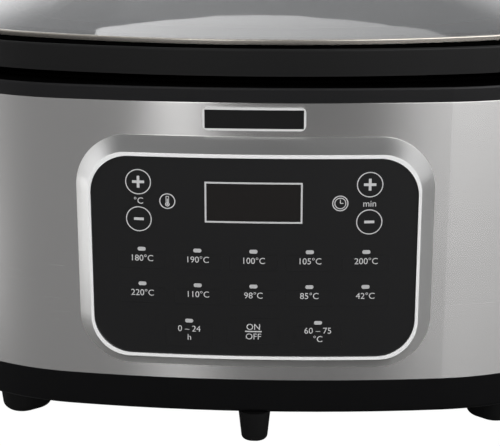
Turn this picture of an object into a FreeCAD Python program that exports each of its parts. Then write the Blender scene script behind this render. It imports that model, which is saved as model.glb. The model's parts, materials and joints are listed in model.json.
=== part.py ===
import FreeCAD, Part
import Sketcher
import math
import os
from FreeCAD import Placement, Rotation, Vector

doc = FreeCAD.newDocument("oval_multicooker")
sheet = doc.addObject("Spreadsheet::Sheet", "Dims")


class Dim:
    """A number kept together with the sheet expression that yields it."""

    def __init__(self, text, value):
        self.text = text
        self.value = float(value)

    def mix(self, other, sign, value):
        return Dim("(%s %s %s)" % (self.text, sign, other.text), value)

    def __add__(self, other):
        other = dim(other)
        return self.mix(other, "+", self.value + other.value)

    def __sub__(self, other):
        other = dim(other)
        return self.mix(other, "-", self.value - other.value)

    def __mul__(self, other):
        other = dim(other)
        return self.mix(other, "*", self.value * other.value)

    def __truediv__(self, other):
        other = dim(other)
        return self.mix(other, "/", self.value / other.value)


def dim(value):
    if isinstance(value, Dim):
        return value
    return Dim("(%s)" % repr(float(value)), value)


class Dims:
    """The driving dimensions, in millimetres, as cells of the sheet."""


D = Dims()
row = 0
for alias, value, note in (
    # plan of the housing: an oval of tangent arcs
    ("body_half_w", 190, "half width of the housing"),
    ("body_half_d", 135, "half depth of the housing"),
    ("body_front_r", 650, "radius of the front and back"),
    ("body_side_r", 220, "radius of the ends"),
    ("body_corner_r", 115, "radius of the corners"),
    # plan of the pot rim
    ("pot_half_w", 189, "half width of the pot rim"),
    ("pot_half_d", 133.5, "half depth of the pot rim"),
    ("pot_front_r", 435, "radius of the front and back"),
    ("pot_side_r", 215, "radius of the ends"),
    ("pot_corner_r", 116, "radius of the corners"),
    # plan of the lid rim
    ("lid_half_w", 182, "half width of the lid"),
    ("lid_half_d", 125, "half depth of the lid"),
    ("lid_front_r", 345, "radius of the front and back"),
    ("lid_side_r", 205, "radius of the ends"),
    ("lid_corner_r", 106, "radius of the corners"),
    # heights
    ("foot_height", 15.4, "floor to underside of the base"),
    ("base_top", 32.5, "top of the base, bottom of the steel"),
    ("steel_top", 167.8, "top of the steel, bottom of the ring"),
    ("ring_top", 175, "top of the ring"),
    ("skirt_bottom", 179.5, "lower edge of the pot rim"),
    ("rim_top", 192, "top of the pot rim"),
    ("lid_edge_top", 194.7, "top of the lid rim"),
    ("plate_top", 58, "top of the heating plate"),
    ("dome_rise", 38, "rise of the glass above its edge"),
    # walls
    ("shell_wall", 0.8, "steel sheet"),
    ("base_wall", 3, "base wall"),
    ("lip_gap", 1.1, "steel to locating lip"),
    ("well_inset", 19.5, "pot rim to inside of the well"),
    ("well_wall", 1.2, "well sheet"),
    ("pot_inset", 22, "pot rim to outside of the pot wall"),
    ("pot_wall", 3, "pot wall"),
    ("glass_wall", 3.5, "glass"),
    # control panel
    ("panel_mid_z", 95.75, "middle of the panel"),
    ("bezel_w", 166.4, "bezel width on the steel"),
    ("bezel_t", 112.3, "bezel height on the steel"),
    ("bezel_corner", 25, "bezel outer corner"),
    ("bezel_rise", 8, "bezel above the steel"),
    ("bezel_slope", 6.6, "width of the bezel slope"),
    ("fascia_w", 150.8, "fascia width"),
    ("fascia_t", 96, "fascia height"),
    ("fascia_corner", 18, "fascia corner"),
    ("fascia_rise", 7, "fascia front above the steel"),
    ("fascia_wall", 1.5, "fascia thickness"),
    ("key_gap", 0.12, "gap around a key"),
    ("round_key", 13, "diameter of the plus and minus keys"),
    ("key_w", 22, "width of a programme key"),
    ("key_t", 7.6, "height of a programme key"),
    ("key_corner", 1.5, "corner of a key"),
    ("key_back", 135.5, "back of the key caps from the middle plane"),
    ("led_w", 3.8, "indicator width"),
    ("led_t", 1.9, "indicator height"),
    ("led_pitch", 26, "spacing of the programme columns"),
    ("led_row_a", 99.2, "height of the upper indicators"),
    ("led_row_b", 82.2, "height of the middle indicators"),
    ("led_row_c", 64.5, "height of the lower indicators"),
    ("led_low_x", 30.2, "lower indicators from the middle"),
    ("key_drop", 5.6, "programme key below its indicator"),
    ("round_x", 53, "plus and minus keys from the middle"),
    ("round_up_z", 131.4, "height of the plus keys"),
    ("round_down_z", 113.7, "height of the minus keys"),
    ("window_w", 43, "display window width"),
    ("window_t", 17.6, "display window height"),
    ("window_z", 122.6, "middle of the display window"),
    ("badge_w", 47.2, "badge plate width"),
    ("badge_t", 10.7, "badge plate height"),
    ("badge_z", 160.3, "middle of the badge plate"),
    ("board_front", 128, "front of the control board from the middle plane"),
    # handles, inlet
    ("handle_reach", 228, "end of a pot handle from the middle"),
    ("handle_half", 52, "half length of a pot handle"),
    ("inlet_z", 62, "height of the mains inlet"),
):
    row += 1
    sheet.set("A%d" % row, alias)
    sheet.set("B%d" % row, str(value))
    sheet.set("C%d" % row, note)
    sheet.setAlias("B%d" % row, alias)
    setattr(D, alias, Dim("Dims.%s" % alias, value))
doc.recompute()


def bind(obj, prop, value):
    obj.setExpression(prop, dim(value).text)


class Rules:
    """Constraints gathered for one shape and added to its sketch together."""

    def __init__(self, sk):
        self.sk = sk
        self.items = []
        self.texts = []

    def hold(self, kind, *args):
        self.items.append(Sketcher.Constraint(kind, *args))
        self.texts.append(None)

    def size(self, kind, *args):
        value = dim(args[-1])
        self.items.append(Sketcher.Constraint(kind, *args[:-1], value.value))
        self.texts.append(value.text)

    def point(self, geo, pos, x, y):
        """Holds a sketch point at x, y, whatever the sign of each."""
        x = dim(x)
        y = dim(y)
        if abs(x.value) < 1e-6:
            self.hold("PointOnObject", geo, pos, -2)
        elif x.value > 0:
            self.size("DistanceX", -1, 1, geo, pos, x)
        else:
            self.size("DistanceX", geo, pos, -1, 1, dim(0) - x)
        if abs(y.value) < 1e-6:
            self.hold("PointOnObject", geo, pos, -1)
        elif y.value > 0:
            self.size("DistanceY", -1, 1, geo, pos, y)
        else:
            self.size("DistanceY", geo, pos, -1, 1, dim(0) - y)

    def apply(self):
        first = self.sk.ConstraintCount
        self.sk.addConstraint(self.items)
        for k, text in enumerate(self.texts):
            if text is not None:
                self.sk.setExpression("Constraints[%d]" % (first + k), text)


def new_body(label):
    body = doc.addObject("PartDesign::Body", label)
    body.Label = label
    return body


def new_sketch(body, plane, offset):
    """A sketch on an origin plane; XZ sketches look along +Y from the front."""
    sk = body.newObject("Sketcher::SketchObject", body.Name + "_sketch")
    face = [o for o in body.Origin.OriginFeatures if o.Role == plane + "_Plane"][0]
    sk.AttachmentSupport = [(face, "")]
    sk.MapMode = "FlatFace"
    bind(sk, "AttachmentOffset.Base.z", offset)
    return sk


def add_oval(sk, family, inset=0, scale=1):
    """Closed oval of eight tangent arcs, shifted inwards or scaled."""
    inset = dim(inset)
    half_w = getattr(D, family + "_half_w") * scale
    half_d = getattr(D, family + "_half_d") * scale
    front_r = getattr(D, family + "_front_r") * scale
    side_r = getattr(D, family + "_side_r") * scale
    corner_r = getattr(D, family + "_corner_r") * scale
    up = front_r - half_d
    aside = side_r - half_w
    rf = front_r - inset
    rs = side_r - inset
    rc = corner_r - inset
    fy = up.value
    sx = -aside.value
    r1 = rf.value - rc.value
    r2 = rs.value - rc.value
    gap = math.hypot(sx, fy)
    along = (r1 * r1 - r2 * r2 + gap * gap) / (2 * gap)
    high = math.sqrt(r1 * r1 - along * along)
    ux = sx / gap
    uy = -fy / gap
    cx = ux * along - uy * high
    cy = fy + uy * along + ux * high
    if cy > 0 or cx < 0:
        cx = ux * along + uy * high
        cy = fy + uy * along - ux * high
    front = math.atan2(cy - fy, cx)
    side = math.atan2(cy, cx - sx)
    turn = math.pi
    arcs = (
        (0, fy, rf, -turn - front, front),
        (cx, cy, rc, front, side),
        (sx, 0, rs, side, -side),
        (cx, -cy, rc, -side, -front),
        (0, -fy, rf, -front, turn + front),
        (-cx, -cy, rc, turn + front, turn + side),
        (-sx, 0, rs, turn + side, turn - side),
        (-cx, cy, rc, turn - side, turn - front),
    )
    first = sk.GeometryCount
    axis = Vector(0, 0, 1)
    for x, y, radius, start, end in arcs:
        circle = Part.Circle(Vector(x, y, 0), axis, radius.value)
        sk.addGeometry(Part.ArcOfCircle(circle, start, end), False)
    rules = Rules(sk)
    for k in range(8):
        rules.hold("Tangent", first + k, 2, first + (k + 1) % 8, 1)
        rules.size("Radius", first + k, arcs[k][2])
    for k in (0, 4):
        rules.hold("PointOnObject", first + k, 3, -2)
    for k in (2, 6):
        rules.hold("PointOnObject", first + k, 3, -1)
    rules.size("DistanceY", -1, 1, first, 3, up)
    rules.size("DistanceY", first + 4, 3, -1, 1, up)
    rules.size("DistanceX", first + 2, 3, -1, 1, aside)
    rules.size("DistanceX", -1, 1, first + 6, 3, aside)
    rules.apply()


def add_circle(sk, x, y, radius):
    radius = dim(radius)
    x = dim(x)
    y = dim(y)
    centre = Vector(x.value, y.value, 0)
    geo = sk.addGeometry(Part.Circle(centre, Vector(0, 0, 1), radius.value), False)
    rules = Rules(sk)
    rules.size("Radius", geo, radius)
    rules.point(geo, 3, x, y)
    rules.apply()


def add_rrect(sk, x, y, width, height, corner):
    """Rectangle with round corners about x, y."""
    x = dim(x)
    y = dim(y)
    width = dim(width)
    height = dim(height)
    corner = dim(corner)
    w = width.value / 2
    t = height.value / 2
    r = corner.value
    up = Vector(0, 0, 1)
    first = sk.GeometryCount
    quarter = math.pi / 2
    spots = ((w, -t, -quarter), (w, t, 0), (-w, t, quarter), (-w, -t, 2 * quarter))
    ends = []
    for sx, sy, start in spots:
        c = Vector(x.value + sx - math.copysign(r, sx), y.value + sy - math.copysign(r, sy), 0)
        arc = Part.ArcOfCircle(Part.Circle(c, up, r), start, start + quarter)
        sk.addGeometry(arc, False)
        ends.append((arc.StartPoint, arc.EndPoint))
    for k in range(4):
        line = Part.LineSegment(ends[k][1], ends[(k + 1) % 4][0])
        sk.addGeometry(line, False)
    rules = Rules(sk)
    for k in range(4):
        line = first + 4 + k
        rules.hold("Tangent", first + k, 2, line, 1)
        rules.hold("Tangent", line, 2, first + (k + 1) % 4, 1)
    rules.hold("Vertical", first + 4)
    rules.hold("Horizontal", first + 5)
    rules.size("Radius", first, corner)
    for k in range(1, 4):
        rules.hold("Equal", first, first + k)
    rules.size("DistanceX", first + 3, 3, first, 3, width - corner * 2)
    rules.size("DistanceY", first, 3, first + 1, 3, height - corner * 2)
    rules.point(first, 3, x + width / 2 - corner, y - height / 2 + corner)
    rules.apply()


def add_box(sk, x, y, width, height):
    """Plain rectangle about x, y."""
    x = dim(x)
    y = dim(y)
    width = dim(width)
    height = dim(height)
    w = width.value / 2
    t = height.value / 2
    first = sk.GeometryCount
    pts = [Vector(x.value + sx * w, y.value + sy * t, 0)
           for sx, sy in ((-1, -1), (1, -1), (1, 1), (-1, 1))]
    for k in range(4):
        sk.addGeometry(Part.LineSegment(pts[k], pts[(k + 1) % 4]), False)
    rules = Rules(sk)
    for k in range(4):
        rules.hold("Coincident", first + k, 2, first + (k + 1) % 4, 1)
    for k in (0, 2):
        rules.hold("Horizontal", first + k)
        rules.hold("Vertical", first + k + 1)
    rules.size("DistanceX", first, 1, first, 2, width)
    rules.size("DistanceY", first + 1, 1, first + 1, 2, height)
    rules.point(first, 1, x - width / 2, y - height / 2)
    rules.apply()


def pad(body, sk, length, down=False):
    feature = body.newObject("PartDesign::Pad", body.Name + "_pad")
    feature.Profile = sk
    bind(feature, "Length", length)
    feature.Reversed = down
    sk.Visibility = False
    return feature


def pocket(body, sk, length, flip=False):
    feature = body.newObject("PartDesign::Pocket", body.Name + "_pocket")
    feature.Profile = sk
    bind(feature, "Length", length)
    feature.Reversed = flip
    sk.Visibility = False
    return feature


def oval_pad(body, bottom, top, family, outer, inner=None, inner_family=None):
    sk = new_sketch(body, "XY", bottom)
    add_oval(sk, family, outer)
    if inner is not None:
        add_oval(sk, inner_family or family, inner)
    return pad(body, sk, dim(top) - bottom)


def oval_pocket(body, bottom, top, family, inset):
    sk = new_sketch(body, "XY", top)
    add_oval(sk, family, inset)
    return pocket(body, sk, dim(top) - bottom)


def disc(body, bottom, top, radius, x=0, y=0, bore=None):
    sk = new_sketch(body, "XY", bottom)
    add_circle(sk, x, y, radius)
    if bore is not None:
        add_circle(sk, x, y, bore)
    return pad(body, sk, dim(top) - bottom)


def drill(body, bottom, top, radius, spots):
    sk = new_sketch(body, "XY", top)
    for x, y in spots:
        add_circle(sk, x, y, radius)
    return pocket(body, sk, dim(top) - bottom)


def round_edges(body, base, radius, keep):
    """Fillets the edges of a feature that the test keeps."""
    doc.recompute()
    names = []
    for k, edge in enumerate(base.Shape.Edges):
        if keep(edge):
            names.append("Edge%d" % (k + 1))
    feature = body.newObject("PartDesign::Fillet", body.Name + "_round")
    feature.Base = (base, names)
    bind(feature, "Radius", radius)
    return feature


def level(edge, z, least=0.0):
    box = edge.BoundBox
    return abs(box.ZMin - z) < 1e-3 and abs(box.ZMax - z) < 1e-3 and box.XLength + box.YLength > least


def outer_at(z, family, inset=0.0):
    """Test for the edges of one oval at one height."""
    half_w = getattr(D, family + "_half_w").value - inset
    half_d = getattr(D, family + "_half_d").value - inset
    front_r = getattr(D, family + "_front_r").value - inset
    side_r = getattr(D, family + "_side_r").value - inset
    corner_r = getattr(D, family + "_corner_r").value - inset

    def keep(edge):
        if not level(edge, z) or not hasattr(edge.Curve, "Radius"):
            return False
        r = edge.Curve.Radius
        return min(abs(r - front_r), abs(r - side_r), abs(r - corner_r)) < 1e-3

    return keep


def group(label, members):
    """Several separate solids kept as one node."""
    node = doc.addObject("Part::Compound", label)
    node.Label = label
    node.Links = members
    return node


def combine(kind, label, base, tool):
    node = doc.addObject(kind, label)
    node.Label = label
    node.Base = base
    node.Tool = tool
    return node


nodes = []


def keep_node(obj, label):
    obj.Label = label
    nodes.append(obj)


def drum(label, radius, back=False):
    """Upright cylinder about the axis of the front or back arc."""
    obj = doc.addObject("Part::Cylinder", label)
    bind(obj, "Radius", radius)
    bind(obj, "Height", 300)
    centre = D.body_front_r - D.body_half_d
    bind(obj, "Placement.Base.y", dim(0) - centre if back else centre)
    bind(obj, "Placement.Base.z", -20)
    return obj


def front_pad(label, near, far, draw):
    """Body drawn on the front plane, from one depth out to another."""
    body = new_body(label)
    sk = new_sketch(body, "XZ", near)
    draw(sk)
    pad(body, sk, dim(far) - near)
    return body


# housing: base, steel, ring

base = new_body("base_tray")
oval_pad(base, D.foot_height, D.base_top, "body", 0)
oval_pocket(base, D.foot_height + D.base_wall, D.base_top, "body", D.base_wall)
oval_pad(base, D.base_top - 3, D.base_top + 6, "body", D.lip_gap, D.base_wall)
posts = [(95, 55), (-95, 55), (-95, -55), (95, -55)]
drill(base, D.foot_height, D.foot_height + D.base_wall, 2.2, posts)
drill(base, D.foot_height, D.foot_height + 2, 4.4, posts)
pegs = [(30, 66), (-30, 66), (-30, 100), (30, 100)]
peg_sketch = new_sketch(base, "XY", D.foot_height + D.base_wall)
for px, py in pegs:
    add_circle(peg_sketch, px, py, 3)
pad(base, peg_sketch, 5)
slot_sketch = new_sketch(base, "XY", D.foot_height + D.base_wall)
add_rrect(slot_sketch, -66, 0, 4, 70, 1.9)
slots = pocket(base, slot_sketch, D.base_wall)
doc.recompute()
row_of_slots = base.newObject("PartDesign::LinearPattern", "base_slots")
row_of_slots.Originals = [slots]
row_of_slots.Direction = (slot_sketch, ["H_Axis"])
bind(row_of_slots, "Length", 132)
row_of_slots.Occurrences = 12
base.Tip = row_of_slots
round_edges(base, row_of_slots, 2, outer_at(D.foot_height.value, "body"))
keep_node(base, "base_tray")

shell = new_body("outer_shell")
oval_pad(shell, D.base_top, D.steel_top, "body", 0, D.shell_wall)
cut_sketch = new_sketch(shell, "XZ", 100)
add_rrect(cut_sketch, 0, D.panel_mid_z, D.fascia_w + 5.6, D.fascia_t + 5.6, D.fascia_corner + 2.6)
pocket(shell, cut_sketch, 60, True)
rear_sketch = new_sketch(shell, "XZ", -100)
add_rrect(rear_sketch, 0, D.inlet_z, 40.6, 28.6, 4.3)
last_cut = pocket(shell, rear_sketch, 60, False)
round_edges(shell, last_cut, 0.5, outer_at(D.steel_top.value, "body"))
keep_node(shell, "outer_shell")

ring = new_body("top_ring")
oval_pad(ring, D.steel_top, D.ring_top, "body", 0, D.base_wall)
oval_pad(ring, D.ring_top - 3, D.ring_top, "body", 1, 17.5, "pot")
oval_pad(ring, D.steel_top - 7, D.ring_top - 2, "body", D.lip_gap, D.base_wall)
ring_last = oval_pad(ring, D.steel_top - 7, D.ring_top - 2, "pot", 15.5, 17.5)
round_edges(ring, ring_last, 1.5, outer_at(D.ring_top.value, "body"))
keep_node(ring, "top_ring")

# feet: two bars in the middle and four round pads at the corners, narrower at the floor

foot_places = (
    ("foot_front", 0, -117.5, 90, (36, 12.4, 5.5), 2.2),
    ("foot_back", 0, 117.5, 90, (36, 12.4, 5.5), 2.2),
    ("foot_front_left", -118, -96, 39, (24, 20, 9.5), 4),
    ("foot_front_right", 118, -96, -39, (24, 20, 9.5), 4),
    ("foot_back_left", -118, 96, -39, (24, 20, 9.5), 4),
    ("foot_back_right", 118, 96, 39, (24, 20, 9.5), 4),
)
for foot_name, fx, fy, heading, plan, foot_round in foot_places:
    foot = new_body(foot_name)
    sk = new_sketch(foot, "XY", 0)
    add_rrect(sk, 0, 0, *plan)
    block = pad(foot, sk, D.foot_height)
    bind(block, "TaperAngle", 6)
    round_edges(foot, block, foot_round, lambda e: level(e, 0.0))
    foot.Placement = Placement(Vector(fx, fy, 0), Rotation(Vector(0, 0, 1), heading))
    keep_node(foot, foot_name)

# heat: well, plate, element, reflector, stand-offs, sensor

well = new_body("heater_well")
well_out = D.well_inset - D.well_wall
oval_pad(well, D.plate_top - 8, D.ring_top + 0.5, "pot", well_out)
oval_pad(well, D.ring_top, D.ring_top + D.well_wall, "pot", 8)
oval_pocket(well, D.plate_top - 8 + D.well_wall, D.ring_top + D.well_wall, "pot", D.well_inset)
floor_cut = oval_pocket(well, D.plate_top - 9, D.plate_top, "pot", 36)
floor_z = D.plate_top.value - 8
round_edges(well, floor_cut, 8, outer_at(floor_z, "pot", well_out.value))
well_round = well.Tip
round_edges(well, well_round, 6.8, outer_at(floor_z + D.well_wall.value, "pot", D.well_inset.value))
keep_node(well, "heater_well")


def heater_path(sk):
    """Open loop of two ends and two straights, open at the back."""
    up = Vector(0, 0, 1)
    quarter = math.pi / 2
    sk.addGeometry(Part.LineSegment(Vector(-14, 45, 0), Vector(-60, 45, 0)), False)
    sk.addGeometry(Part.ArcOfCircle(Part.Circle(Vector(-60, 0, 0), up, 45), quarter, 3 * quarter), False)
    sk.addGeometry(Part.LineSegment(Vector(-60, -45, 0), Vector(60, -45, 0)), False)
    sk.addGeometry(Part.ArcOfCircle(Part.Circle(Vector(60, 0, 0), up, 45), -quarter, quarter), False)
    sk.addGeometry(Part.LineSegment(Vector(60, 45, 0), Vector(14, 45, 0)), False)
    rules = Rules(sk)
    for k in range(4):
        rules.hold("Tangent", k, 2, k + 1, 1)
    for k in (0, 2, 4):
        rules.hold("Horizontal", k)
    rules.size("Radius", 1, 45)
    rules.point(1, 3, -60, 0)
    rules.size("DistanceX", -1, 1, 3, 3, 60)
    rules.size("DistanceX", 0, 1, -1, 1, 14)
    rules.size("DistanceX", -1, 1, 4, 2, 14)
    rules.apply()


def heater_tube(body, kind, z, radius):
    spine = new_sketch(body, "XY", z)
    heater_path(spine)
    ring_sketch = new_sketch(body, "YZ", -14)
    add_circle(ring_sketch, 45, z, radius)
    doc.recompute()
    tube = body.newObject("PartDesign::" + kind, body.Name + "_tube")
    tube.Profile = ring_sketch
    tube.Spine = (spine, ["Edge%d" % k for k in range(1, 6)])
    return tube


plate = new_body("heating_plate")
plate_pad = oval_pad(plate, D.plate_top - 10, D.plate_top, "pot", 40)
disc_cut = drill(plate, D.plate_top - 10, D.plate_top, 13.5, [(0, 0)])
round_edges(plate, disc_cut, 2, outer_at(D.plate_top.value, "pot", 40))
heater_tube(plate, "SubtractivePipe", D.plate_top - 10, 3.6)
end_groove = new_sketch(plate, "YZ", 14)
add_circle(end_groove, 45, D.plate_top - 10, 3.6)
pocket(plate, end_groove, 28)
keep_node(plate, "heating_plate")

element = new_body("heating_element")
heater_tube(element, "AdditivePipe", D.plate_top - 10, 3.5)
for ex in (-14, 14):
    disc(element, D.plate_top - 22, D.plate_top - 10, 2.5, ex + (4 if ex < 0 else -4), 45)
    terminal = new_sketch(element, "YZ", ex if ex < 0 else ex - 6)
    add_circle(terminal, 45, D.plate_top - 10, 2.5)
    pad(element, terminal, 6)
keep_node(element, "heating_element")

reflector = new_body("heat_reflector")
oval_pad(reflector, 36, 36.8, "pot", 34)
drill(reflector, 36, 36.8, 5.1, posts)
drill(reflector, 36, 36.8, 8.2, [(0, 0)])
drill(reflector, 36, 36.8, 4, [(-10, 45), (10, 45)])
keep_node(reflector, "heat_reflector")

members = []
for k, (px, py) in enumerate(posts):
    post = new_body("standoff_%d" % k)
    disc(post, D.foot_height + D.base_wall, 36, 7, px, py, 2.3)
    disc(post, 36, D.plate_top - 10, 5, px, py, 2.3)
    members.append(post)
keep_node(group("standoffs", members), "standoffs")

members = []
for k, (px, py) in enumerate(posts):
    screw = new_body("base_screw_%d" % k)
    disc(screw, D.foot_height + 0.1, D.foot_height + 2, 3.8, px, py)
    disc(screw, D.foot_height + 2, 30, 2, px, py)
    sk = new_sketch(screw, "XY", D.foot_height + 1.3)
    add_box(sk, px, py, 5.5, 1)
    add_box_cut = pocket(screw, sk, 2)
    members.append(screw)
keep_node(group("base_screws", members), "base_screws")

guide = new_body("sensor_guide")
disc(guide, 30, 44, 8, 0, 0, 5.4)
disc(guide, 36.8, 38.3, 14, 0, 0, 5.4)
keep_node(guide, "sensor_guide")

sensor = new_body("sensor_cap")
disc(sensor, D.plate_top - 3, D.plate_top, 12)
cap_stem = disc(sensor, 32, D.plate_top - 3, 5)
round_edges(sensor, cap_stem, 1, lambda e: level(e, D.plate_top.value))
keep_node(sensor, "sensor_cap")

spring_r = 7.0
wire_r = 0.6
spring_low = 44.0 + wire_r + 0.05
spring_high = D.plate_top.value - 3 - wire_r - 0.05
turns = 4


def spring_point(u):
    angle = 2 * math.pi * turns * u
    z = spring_low + (spring_high - spring_low) * u
    return Vector(spring_r * math.cos(angle), spring_r * math.sin(angle), z)


edges = []
steps = turns * 4
for k in range(steps):
    a = spring_point(k / steps)
    b = spring_point((k + 0.5) / steps)
    c = spring_point((k + 1) / steps)
    edges.append(Part.Arc(a, b, c).toShape())
spine = Part.Wire(edges)
slope = spring_point(0.001) - spring_point(0)
section = Part.Wire([Part.Circle(spring_point(0), slope, wire_r).toShape()])
spring = doc.addObject("Part::Feature", "sensor_spring")
spring.Shape = spine.makePipeShell([section], True, False)
keep_node(spring, "sensor_spring")
print("sensor_spring gap to itself", (spring_high - spring_low) / turns - 2 * wire_r)

# control panel

lip_drum = drum("lip_drum", D.body_front_r + D.bezel_rise)
steel_drum = drum("steel_drum", D.body_front_r)
face_drum = drum("face_drum", D.body_front_r + D.fascia_rise)
back_drum = drum("back_drum", D.body_front_r + D.fascia_rise - D.fascia_wall)
ledge_drum = drum("ledge_drum", D.body_front_r + D.fascia_rise - D.fascia_wall - 2.4)
mid_z = D.panel_mid_z
steel_y = D.body_half_d

frame_block = front_pad("bezel_block", 110, 160, lambda sk: add_rrect(
    sk, 0, mid_z, D.bezel_w, D.bezel_t, D.bezel_corner))
frame_front = combine("Part::Common", "bezel_front", frame_block, lip_drum)
frame_slab = combine("Part::Cut", "bezel_slab", frame_front, steel_drum)
doc.recompute()
lip_radius = D.body_front_r.value + D.bezel_rise.value
axis_y = D.body_front_r.value - D.body_half_d.value
slopes = []
for k, edge in enumerate(frame_slab.Shape.Edges):
    span = edge.LastParameter - edge.FirstParameter
    dots = [edge.valueAt(edge.FirstParameter + span * u / 4) for u in range(5)]
    if all(abs(math.hypot(p.x, p.y - axis_y) - lip_radius) < 0.01 for p in dots):
        slopes.append((k + 1, D.bezel_rise.value - 0.4, D.bezel_slope.value))
frame_slope = doc.addObject("Part::Chamfer", "bezel_slope")
frame_slope.Base = frame_slab
frame_slope.Edges = slopes
tube_block = front_pad("bezel_tube", 124, steel_y + 2, lambda sk: add_rrect(
    sk, 0, mid_z, D.fascia_w + 5, D.fascia_t + 5, D.fascia_corner + 2.5))
frame_solid = combine("Part::Fuse", "bezel_solid", frame_slope, tube_block)
frame_hole = front_pad("bezel_hole", 100, 160, lambda sk: add_rrect(
    sk, 0, mid_z, D.fascia_w, D.fascia_t, D.fascia_corner))
frame_open = combine("Part::Cut", "bezel_open", frame_solid, frame_hole)
ledge_block = front_pad("ledge_block", 120, 150, lambda sk: (
    add_rrect(sk, 0, mid_z, D.fascia_w + 1, D.fascia_t + 1, D.fascia_corner + 0.5),
    add_rrect(sk, 0, mid_z, D.fascia_w - 4, D.fascia_t - 4, D.fascia_corner - 2)))
ledge_front = combine("Part::Common", "ledge_front", ledge_block, back_drum)
ledge = combine("Part::Cut", "ledge", ledge_front, ledge_drum)
bezel = combine("Part::Fuse", "panel_bezel", frame_open, ledge)
keep_node(bezel, "panel_bezel")

# keys: name, x, z, width, height (no width: round)
keys = [
    ("key_up_left", dim(0) - D.round_x, D.round_up_z, None, None),
    ("key_down_left", dim(0) - D.round_x, D.round_down_z, None, None),
    ("key_up_right", D.round_x, D.round_up_z, None, None),
    ("key_down_right", D.round_x, D.round_down_z, None, None),
]
for line, z in (("upper", D.led_row_a), ("lower", D.led_row_b)):
    for k in range(5):
        place = D.led_pitch * (k - 2)
        keys.append(("key_%s_%d" % (line, k + 1), place, z - D.key_drop, D.key_w, D.key_t))
keys.append(("key_delay", dim(0) - D.led_low_x, D.led_row_c - 7.4, D.key_w, D.key_t + 3.4))
keys.append(("key_power", dim(0), D.led_row_c - 4.6, D.key_w + 2, D.key_t + 5.4))
keys.append(("key_warm", D.led_low_x, D.led_row_c - 7.4, D.key_w, D.key_t + 3.4))
leds = [(D.led_pitch * (k - 2), z) for z in (D.led_row_a, D.led_row_b) for k in range(5)]
leds += [(dim(0) - D.led_low_x, D.led_row_c), (D.led_low_x, D.led_row_c)]

fascia_block = front_pad("fascia_block", 125, 150, lambda sk: add_rrect(
    sk, 0, mid_z, D.fascia_w - 0.2, D.fascia_t - 0.2, D.fascia_corner - 0.1))
for few in (keys[:4], keys[4:9], keys[9:14], keys[14:]):
    hole_sketch = new_sketch(fascia_block, "XZ", 120)
    for name, x, z, w, t in few:
        if w is None:
            add_circle(hole_sketch, x, z, D.round_key / 2 + D.key_gap)
        else:
            add_rrect(hole_sketch, x, z, w + D.key_gap * 2, t + D.key_gap * 2, D.key_corner + D.key_gap)
    pocket(fascia_block, hole_sketch, 40, True)
for few in (leds[:5], leds[5:10], leds[10:]):
    hole_sketch = new_sketch(fascia_block, "XZ", 120)
    for x, z in few:
        add_rrect(hole_sketch, x, z, D.led_w, D.led_t, 0.85)
    pocket(fascia_block, hole_sketch, 40, True)
hole_sketch = new_sketch(fascia_block, "XZ", 120)
add_rrect(hole_sketch, 0, D.window_z, D.window_w, D.window_t, 2)
pocket(fascia_block, hole_sketch, 40, True)
fascia_front = combine("Part::Common", "fascia_front", fascia_block, face_drum)
fascia = combine("Part::Cut", "panel_fascia", fascia_front, back_drum)
keep_node(fascia, "panel_fascia")

for name, x, z, w, t in keys:
    cap = new_body(name + "_cap")
    sk = new_sketch(cap, "XZ", D.key_back)
    if w is None:
        add_circle(sk, x, z, D.round_key / 2)
    else:
        add_rrect(sk, x, z, w, t, D.key_corner)
    pad(cap, sk, 12)
    stem_sketch = new_sketch(cap, "XZ", D.key_back)
    add_circle(stem_sketch, x, z, 2)
    pad(cap, stem_sketch, 3.4, True)
    keep_node(combine("Part::Common", name, cap, face_drum), name)

members = []
for k, (x, z) in enumerate(leds):
    lens = front_pad("lens_block_%d" % k, 134, 150, lambda sk: add_rrect(
        sk, x, z, D.led_w - 0.06, D.led_t - 0.06, 0.82))
    members.append(combine("Part::Common", "lens_%d" % k, lens, face_drum))
keep_node(group("indicator_lenses", members), "indicator_lenses")

window = front_pad("window_block", 125, 150, lambda sk: add_rrect(
    sk, 0, D.window_z, D.window_w - 0.1, D.window_t - 0.1, 1.95))
window_front = combine("Part::Common", "window_front", window, face_drum)
keep_node(combine("Part::Cut", "display_window", window_front, back_drum), "display_window")

module = front_pad("display_module", D.board_front, 139.5, lambda sk: add_rrect(
    sk, 0, D.window_z, D.window_w - 3, D.window_t - 2.4, 1))
keep_node(module, "display_module")

board = front_pad("control_board", D.board_front - 1.6, D.board_front, lambda sk: add_rrect(
    sk, 0, mid_z, D.fascia_w - 6, D.fascia_t - 6, D.fascia_corner - 3))
board_spots = ((-1, -1), (1, -1), (1, 1), (-1, 1))
board_holes = new_sketch(board, "XZ", D.board_front - 2)
for sx, sz in board_spots:
    add_circle(board_holes, dim(63.5 * sx), mid_z + dim(36.5 * sz), 1.7)
pocket(board, board_holes, 4, True)
keep_node(board, "control_board")

members = []
for name, x, z, w, t in keys:
    switch = front_pad("switch_" + name, D.board_front, D.board_front + 2.6, lambda sk: add_rrect(
        sk, x, z, 6, 6, 0.6))
    plunger = new_sketch(switch, "XZ", D.board_front + 2.6)
    add_circle(plunger, x, z, 1.7)
    pad(switch, plunger, 0.9)
    members.append(switch)
keep_node(group("tact_switches", members), "tact_switches")

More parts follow.
